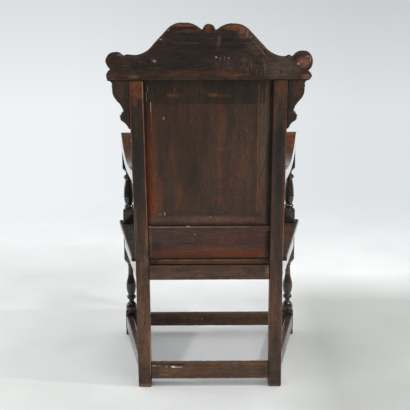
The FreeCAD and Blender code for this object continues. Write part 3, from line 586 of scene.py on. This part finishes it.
# %% The panel
# the dark strips at -186 and -180 along the right edge are painted shadow of the right stile, and the pale
# lines at -150 to -171 are painted sheen on the right bevel
panel_marks_shade_and_sheen = [
    (10, 978, 180, 36, 8, "#29251c", 0.7), (10, 943, 152, 1.3, 1.0, "#171513", 0.4),
    (106, 969, 17, 4.5, 11, "#6b4426", 0.9), (76, 968, 16, 3, 8, "#53361f", 0.6),
    (-14, 969, 13, 4.5, 11, "#6f4425", 0.9), (115, 885, 70, 70, 60, "#38291b", 0.45),
    (-180, 690, 5, 130, 8, "#1a1512", 0.5), (172, 934, 1.2, 15, 1.2, "#b59d84", 0.8),
    (171, 890, 1.0, 30, 0.9, "#95623f", 0.6), (134, 899, 1.2, 5, 1.4, "#a5a198", 0.75),
    (-148, 840, 0.9, 90, 1.0, "#80492f", 0.55), (152, 590, 5, 1.6, 1.4, "#a08a76", 0.7),
    (138, 592, 1.6, 5, 1.2, "#b5a28e", 0.75), (180, 988, 1.2, 8, 1.0, "#8d8274", 0.7),
    (100, 985, 1.4, 7, 1.2, "#77695c", 0.5), (-4, 580, 3.5, 1.8, 1.4, "#97826f", 0.7),
    (-44, 967, 20, 3.5, 9, "#5c3a26", 0.7), (184, 965, 1.3, 14, 1.0, "#a8907a", 0.8),
    (-150, 800, 1.2, 200, 1.5, "#7d665a", 0.45), (-160, 790, 1.6, 190, 2.0, "#6b564a", 0.4),
    (-171, 880, 1.3, 110, 1.2, "#77604f", 0.4), (-186, 780, 4.6, 236, 2.6, "#0f0d0a", 0.85),
    (0, 591, 150, 1.0, 0.8, "#2a201a", 0.45), (146, 770, 1.0, 160, 1.2, "#2b211b", 0.3),
]
panel_oak = waxed_oak("waxed_oak_panel", ALONG_Z, "#352b24", "#4a3529", "#5c3929", seed=2.3,
                      scuffed="#6b5242", rubbed="#7c3c1d", marks=panel_marks_shade_and_sheen, coarser=1.5, lined=0.16,
                      blotchy=0.45, drawn=3.5, scratches=0.1)
# the scuffed touches at -166, -174 and -80 paint a sheen of light on the right half of the panel
panel_touches_and_sheen = [
    ("rubbed", 176, 730, 19, 170, 0.55), ("rubbed", 172, 870, 16, 110, 0.32),
    ("rubbed", 174, 640, 16, 64, 0.85), ("rubbed", 148, 655, 8, 56, 0.5),
    ("rubbed", 90, 660, 8, 46, 0.4), ("rubbed", 108, 780, 7, 80, 0.15),
    ("rubbed", -152, 650, 9, 60, 0.5), ("rubbed", -30, 640, 24, 14, 0.3), ("rubbed", -40, 885, 13, 70, 0.3),
    ("rubbed", 130, 900, 30, 30, 0.1), ("rubbed", 70, 850, 10, 90, 0.1), ("rubbed", -34, 750, 11, 90, 0.3),
    ("rubbed", -84, 720, 40, 130, 0.14), ("scuffed", 180, 573, 12, 12, 0.5),
    ("rubbed", -50, 571, 120, 12, 0.35), ("scuffed", -166, 790, 17, 220, 0.6),
    ("scuffed", -174, 890, 14, 120, 0.4), ("scuffed", 0, 572, 170, 12, 0.6),
    ("scuffed", -116, 860, 2.5, 5, 0.8), ("scuffed", -80, 760, 80, 170, 0.2),
    ("dirt", 62, 760, 36, 150, 0.25),
    ("dirt", 16, 850, 30, 70, 0.25), ("dirt", -60, 700, 26, 80, 0.15), ("dirt", 186, 990, 8, 30, 0.4),
    ("scuffed", 186, 990, 3, 4, 0.6), ("scuffed", -165, 985, 12, 12, 0.35), ("scored", 176, 985, 14, 30, 0.3),
    ("clean", 188, 780, 14, 300, 0.9), ("clean", 0, 556, 190, 8, 0.6), ("clean", 0, 1006, 190, 8, 0.5),
]
aged("back_panel", panel_oak, step=2.6 * MM, touches=panel_touches_and_sheen)

# %% [markdown]
# The seat frame and the stretchers hold the legs together. Feet rest on the stretchers and mops strike
# them, so they are the most scratched, and the rear one has lost splinters from its upper arris.

# %% The rear and front rails
# The pale line at 424 is a painted highlight on the rail's upper arris.
low_rail_oak = waxed_oak("waxed_oak_seat_rail", ALONG_X, "#3b3129", "#5a4337", "#684536", seed=4.9,
                         marks=[(0, 424, 190, 1.2, 1.0, "#77665a", 0.6),
                                (30, 408, 130, 1.2, 2, "#7e4034", 0.5)])
aged("seat_rail_front", low_rail_oak)
aged("seat_rail_rear", low_rail_oak, touches=[
    ("rubbed", 40, 414, 130, 4, 0.35), ("scuffed", 0, 392, 190, 12, 0.12), ("dirt", 168, 404, 26, 14, 0.25),
    ("scuffed", -188, 400, 9, 22, 0.6), ("dirt", 90, 404, 40, 8, 0.25), ("clean", 0, 400, 230, 40, 0.6)])
rear_marks = [
    (120, 71, 5.5, 2.6, 2.6, "#e8ded0", 0.95), (104, 69.5, 15, 1.4, 1.6, "#d9ccbb", 0.85),
    (182, 75, 6, 2.0, 2.0, "#a9a094", 0.75), (164, 76, 4, 1.6, 1.8, "#97907f", 0.6),
    (142, 72, 4, 5, 3.0, "#857c6e", 0.55), (136, 79.5, 54, 2.2, 2.0, "#141310", 0.95),
    (141, 58, 4, 2, 2.0, "#7d7163", 0.5), (150, 45, 13, 1.4, 1.6, "#7f6d5f", 0.5),
    (140, 41, 5, 1.6, 1.8, "#8d7a6b", 0.5), (178, 56, 12, 16, 12, "#2e2926", 0.6),
]
knot_marks = [
    (33, 62, 9, 1.4, 1.8, "#8a7a6c", 0.7), (28, 57, 2.0, 5, 2.0, "#94857a", 0.6),
    (44, 54, 6, 1.2, 1.6, "#7a6a5c", 0.6), (30, 60, 14, 8, 6, "#2a211b", 0.4),
]
stretcher_oak = waxed_oak("scuffed_oak_stretcher", ALONG_X, "#342b22", "#584232", "#6d4932", seed=9.3,
                          scratches=0.4, rubbed="#7c4a28", marks=rear_marks)
knotty_oak = waxed_oak("knotty_oak_stretcher", ALONG_X, "#3a2f26", "#5e4636", "#6d4a36", seed=9.9,
                       scratches=0.4, rubbed="#7c4a28", marks=knot_marks)
aged("stretcher_front", knotty_oak, touches=[
    ("dirt", 150, 55, 40, 14, 0.25), ("clean", 0, 60, 240, 30, 0.5)])
aged("stretcher_rear", stretcher_oak, step=1.8 * MM, touches=[
    ("rubbed", 40, 66, 60, 8, 0.4), ("rubbed", 50, 44, 60, 7, 0.3), ("dirt", 60, 86, 150, 2.5, 0.6),
    ("chipped", 165, 81, 26, 6, 2.2), ("chipped", 118, 80, 22, 4, 1.8), ("chipped", -60, 82, 60, 3, 0.8),
    ("dirt", -176, 52, 16, 24, 0.3), ("scuffed", 0, 50, 150, 10, 0.15), ("clean", 0, 60, 240, 30, 0.5)])

# %% [markdown]
# The side rails and side stretchers run from the narrow back to the wide front. Their grain follows them,
# so the pattern is turned by the same splay, which is measured from the posts and the stiles. Cloths wipe
# these faces on every cleaning day, and their thick wax catches the light along its whole length.

# %% The side rails
HALF_LEG = 21 * MM
post_low, post_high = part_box("front_post_left")
stile_low, stile_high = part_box("rear_stile_left")
rear_foot = stile_high.y - HALF_LEG
splay = math.atan2((post_low.x + post_high.x - stile_low.x - stile_high.x) / 2,
                   rear_foot - (post_low.y + post_high.y) / 2)
print("the sides splay by", round(math.degrees(splay), 1), "degrees")
for side, way in (("left", 1), ("right", -1)):
    for name, polish in (("seat_rail_", 1.0), ("stretcher_", 0.3)):
        side_oak = waxed_oak("wiped_oak_" + name + side, (0, 0, -math.pi / 2 - way * splay), "#33281f",
                             "#4e3b30", "#5f4433", seed=7.7 + way, gloss=0.26, shine=0.5, polish=polish,
                             relief=0.3)
        aged(name + side, side_oak)

# %% [markdown]
# The seat is two boards side to side. Its polish is long gone from the top, which is dark, dry and ridged
# where soft early wood has worn away between the harder lines, so its figure is strong and its relief deep.

# %% The seat
# Its marks are painted light: an orange glow along the rear board's edge under the lower rail, and a thin
# olive highlight along the board's top arris.
seat_oak = waxed_oak("dry_dark_oak_seat", ALONG_X, "#24231f", "#39332d", "#463830", seed=12.1, gloss=0.66,
                     shine=0.12, lined=0.4, coarser=1.3, relief=1.0, partly=True,
                     marks=[(14, 428, 150, 8, 6, "#61412b", 0.8),
                            (-6, 433.6, 150, 1.2, 1.4, "#66603e", 0.85)])


def edges_only(points, normals):
    return np.clip(np.abs(normals[:, 0]) * 2 - 1, 0, 1)


seat_touches = [("rubbed", -276, 436, 30, 8, 0.28), ("clean", 0, 432, 180, 12, 0.95)]
aged("seat_board_front", seat_oak, wiped=edges_only, touches=seat_touches)
aged("seat_board_rear", seat_oak, wiped=edges_only, touches=seat_touches)

# %% [markdown]
# The posts were turned on a pole lathe and handled ever since, so they are nearly black, and their thick
# polish shows small white dots where it mirrors the lamps. The arms are as smooth, and bright where a
# sleeve runs along them. A low roughness and little relief keep these highlights crisp. The right post is
# shinier than the left one, and its tones are painted lighter and greyer for the sheen it shows, and the
# right arm is redder.

# %% Posts and arms
def sleeve_wiped(points, normals):
    up = np.clip(normals[:, 2] * 2 - 0.6, 0, 1)
    toward_back = np.clip((points[:, 1] + 60 * MM) / (180 * MM), 0, 1)
    return 1 - up * (1 - toward_back)


# the right post's lighter, greyer tones stand partly for a painted sheen
post_tones_and_sheen = {"left": ("#0f100d", "#181612", "#2e1d16"), "right": ("#24231f", "#312c25", "#443529")}
post_touches = {"left": (), "right": [("rubbed", -296, 560, 12, 60, 0.12), ("rubbed", -296, 300, 16, 90, 0.5),
                                      ("rubbed", -290, 390, 14, 20, 0.5)]}
for side, way, polish, arm_red, arm_rub in (("left", 1, 0.6, "#563626", 0.1),
                                            ("right", -1, 1.0, "#6e3d20", 0.45)):
    post_oak = waxed_oak("hand_polished_oak_post_" + side, ALONG_Z, *post_tones_and_sheen[side], seed=10.4 + way,
                         gloss=0.16, shine=0.5, polish=polish, edge=0.15, relief=0.15)
    aged("front_post_" + side, post_oak, step=1.6 * MM, softness=1, waves=0.1 * MM,
         chips=0.5 * MM, touches=post_touches[side])
    arm_oak = waxed_oak("hand_polished_oak_arm_" + side, (0, 0, -math.pi / 2 - way * splay), "#2a1f18",
                        "#4a3023", arm_red, seed=11.8 + way, gloss=0.32, shine=0.15, partly=True,
                        relief=0.2, rubbed="#7d431c")
    aged("arm_" + side, arm_oak, step=2 * MM, waves=0.15 * MM, wiped=sleeve_wiped,
         touches=[("rubbed", way * 290, 748, 14, 16, arm_rub)])

# %% [markdown]
# Pegs and nails keep their solids, because a peg as thin as a pencil shows no wear from here. A peg shows
# its end grain, which drinks wax and goes dark. Low on the chair the wax has been scrubbed off again, so the
# pegs are paler there. A wrought nail head is dark iron with a little rust.

# %% Pegs and nails
SPECK = 2.5 * MM
SCRUBBED_BELOW = 0.6


def small_finish(name, base, spot, rough, metal=0.0):
    finish, tree = blank_finish(name)
    place = add(tree, "ShaderNodeTexCoord", out="Object")
    speckle = add(tree, "ShaderNodeTexNoise", {"Vector": place, "Scale": 1 / SPECK, "Detail": 4.0}, "Fac")
    colour = stained(tree, linear(base), speckle, 0.4, 0.65, 1.0, spot)
    bump = add(tree, "ShaderNodeBump", {"Height": speckle, "Strength": 0.5, "Distance": 0.4 * MM}, 0)
    skin = add(tree, "ShaderNodeBsdfPrincipled", {"Base Color": colour, "Roughness": rough, "Normal": bump,
                                                  "Metallic": metal}, 0)
    add(tree, "ShaderNodeOutputMaterial", {"Surface": skin})
    return finish


peg_oak = small_finish("end_grain_oak_peg", "#352a22", "#483629", 0.6)
low_peg_oak = small_finish("scuffed_oak_peg", "#4c3d33", "#5f4a3d", 0.65)
nail_iron = small_finish("wrought_iron_nail", "#2a2522", "#4a2c1c", 0.5, metal=0.8)
for name, part in chair.items():
    if name.endswith(("_pegs", "_nails")):
        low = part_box(name)[1].z < SCRUBBED_BELOW
        finish = nail_iron if name == "ear_nails" else low_peg_oak if low else peg_oak
        part.data.materials.clear()
        part.data.materials.append(finish)
        print(name, "finished in", finish.name)

# %% [markdown]
# The floor is white background paper. Its colour is painted greyer in bands all round the chair and most on
# the right of the picture, as painted shade for the chair's shadow and the fall of the light, and is whiter
# under the seat and farther off. A plane with a hard edge would show a horizon, so the paper's finish fades
# to nothing far from the chair, and the pale room behind takes over. It still keeps the chair's shadow.
# Each tone of the paper begins at one line on the floor and is full at the next, across the picture or away
# from the camera.

# %% The floor
FLOOR_RADIUS = 3.2
FADES_FROM, FADED_AT = 1.1, 2.8


def paper_floor():
    bm = bmesh.new()
    bmesh.ops.create_circle(bm, cap_ends=True, segments=96, radius=FLOOR_RADIUS)
    mesh = bpy.data.meshes.new("floor")
    bm.to_mesh(mesh)
    bm.free()
    floor = bpy.data.objects.new("floor", mesh)
    bpy.context.scene.collection.objects.link(floor)
    finish, tree = blank_finish("greyed_paper_floor")
    place = add(tree, "ShaderNodeTexCoord", out="Object")
    reach = add(tree, "ShaderNodeVectorMath", {0: place}, "Value", operation="LENGTH")
    fade = add(tree, "ShaderNodeMapRange", {"Value": reach, "From Min": FADES_FROM, "From Max": FADED_AT}, 0,
               interpolation_type="SMOOTHSTEP")
    across, away = add(tree, "ShaderNodeSeparateXYZ", {0: place}).outputs[:2]
    smudge = add(tree, "ShaderNodeTexNoise", {"Vector": place, "Scale": 3.4, "Detail": 5.0}, "Fac")
    colour = linear("#f3f3f1")
    # the greyer tones are painted shade: the chair's shadow behind it and to the right, and the light falling
    # off round it
    for line, begins, full, tone in ((away, 0.15, 0.45, "#e2e2e0"), (away, -0.4, -0.62, "#dfdfdd"),
                                     (across, -0.15, -0.42, "#bdbdb9"), (away, -0.6, -1.0, "#f5f5f3"),
                                     (across, 0.15, 0.5, "#dcdcd9"), (away, -0.95, -1.5, "#f5f5f3")):
        colour = stained(tree, colour, line, begins, full, 1.0, tone)
    colour = shaded(tree, colour, smudge, 0.05)
    paper = add(tree, "ShaderNodeBsdfPrincipled", {"Base Color": colour, "Roughness": 0.6}, 0)
    clear = add(tree, "ShaderNodeBsdfTransparent", out=0)
    both = add(tree, "ShaderNodeMixShader", {0: fade, 1: paper, 2: clear}, 0)
    add(tree, "ShaderNodeOutputMaterial", {"Surface": both})
    mesh.materials.append(finish)


paper_floor()
print("floor laid,", FLOOR_RADIUS * 2, "m across")

# %% [markdown]
# The studio could be built as walls, but a world of soft colours does the same with less. Rays that come
# from the camera see a pale sheet, brighter at the left. A polished face sees the bright sheet in front of
# the chair, and the dark half of the studio behind the camera, so that polish draws crisp lights on dark
# wood and doesn't veil it. All other light from the room is even and plain.

# %% The room
ROOM_LIGHT, DARK_HALF = 0.8, 0.1


def pale_room(light, dark_half):
    world = bpy.data.worlds.new("pale_room")
    bpy.context.scene.world = world
    world.use_nodes = True
    tree = world.node_tree
    tree.nodes.clear()
    path = add(tree, "ShaderNodeLightPath")
    way = add(tree, "ShaderNodeTexCoord", out="Generated")
    sides = add(tree, "ShaderNodeSeparateXYZ", {0: way}).outputs
    wall = add(tree, "ShaderNodeMapRange", {"Value": sides[2], "From Min": -0.02, "From Max": -0.13,
                                            "To Min": 0.69, "To Max": 0.845}, 0)
    lean = add(tree, "ShaderNodeMapRange", {"Value": sides[0], "From Min": -0.16, "From Max": 0.16,
                                            "To Min": -0.067, "To Max": 0.067}, 0)
    wall = add(tree, "ShaderNodeMath", {0: wall, 1: lean}, 0, operation="ADD")
    ceiling = add(tree, "ShaderNodeMapRange", {"Value": sides[2], "From Min": 0.3, "From Max": 0.8,
                                               "To Min": 1.0, "To Max": 0.45}, 0)
    sheet = add(tree, "ShaderNodeMath", {0: wall, 1: ceiling}, 0, operation="MULTIPLY")
    behind = add(tree, "ShaderNodeMapRange", {"Value": sides[1], "From Min": 0.1, "From Max": -0.35}, 0)
    low = add(tree, "ShaderNodeMapRange", {"Value": sides[2], "From Min": 0.5, "From Max": 0.2}, 0)
    behind = add(tree, "ShaderNodeMath", {0: behind, 1: low}, 0, operation="MULTIPLY")
    behind = add(tree, "ShaderNodeMath", {0: behind, 1: 1.0 - dark_half, 2: dark_half}, 0,
                 operation="MULTIPLY_ADD")
    mirrored = add(tree, "ShaderNodeMath", {0: path.outputs["Is Glossy Ray"],
                                            1: path.outputs["Is Transmission Ray"]}, 0, operation="MAXIMUM")
    strength = add(tree, "ShaderNodeMix", {0: path.outputs["Is Camera Ray"], 2: light, 3: sheet}, 0)
    strength = add(tree, "ShaderNodeMix", {0: mirrored, 2: strength, 3: behind}, 0)
    back = add(tree, "ShaderNodeBackground", {"Color": linear("#f9fdff"), "Strength": strength}, 0)
    add(tree, "ShaderNodeOutputWorld", {"Surface": back})


pale_room(ROOM_LIGHT, DARK_HALF)
print("room gives", ROOM_LIGHT, "of white")

# %% [markdown]
# One broad lamp hangs over the chair and gives most of the light. A smaller one to the right of the picture
# draws the edge of the shadow on the floor, and a tall one at the left puts thin lights on the turned posts.
# Their strengths are set so that a colour renders about as it is written.

# %% The lamps
def soft_lamp(name, at, aim, size, watts):
    lamp = bpy.data.lights.new(name, "AREA")
    lamp.shape, lamp.size, lamp.size_y = "RECTANGLE", size[0], size[1]
    lamp.energy = watts
    holder = bpy.data.objects.new(name, lamp)
    holder.location = at
    holder.rotation_euler = (Vector(aim) - Vector(at)).to_track_quat("-Z", "Y").to_euler()
    bpy.context.scene.collection.objects.link(holder)


soft_lamp("key", (-2.1, 0.6, 2.2), (0, 0, 0.3), (0.1, 0.1), 19)
soft_lamp("left_strip", (2.6, -0.4, 1.3), (0, -0.1, 0.6), (0.5, 1.6), 14)
soft_lamp("overhead", (0, 0.6, 3.4), (0, 0, 0), (3.0, 3.0), 40)
print("studio lit")
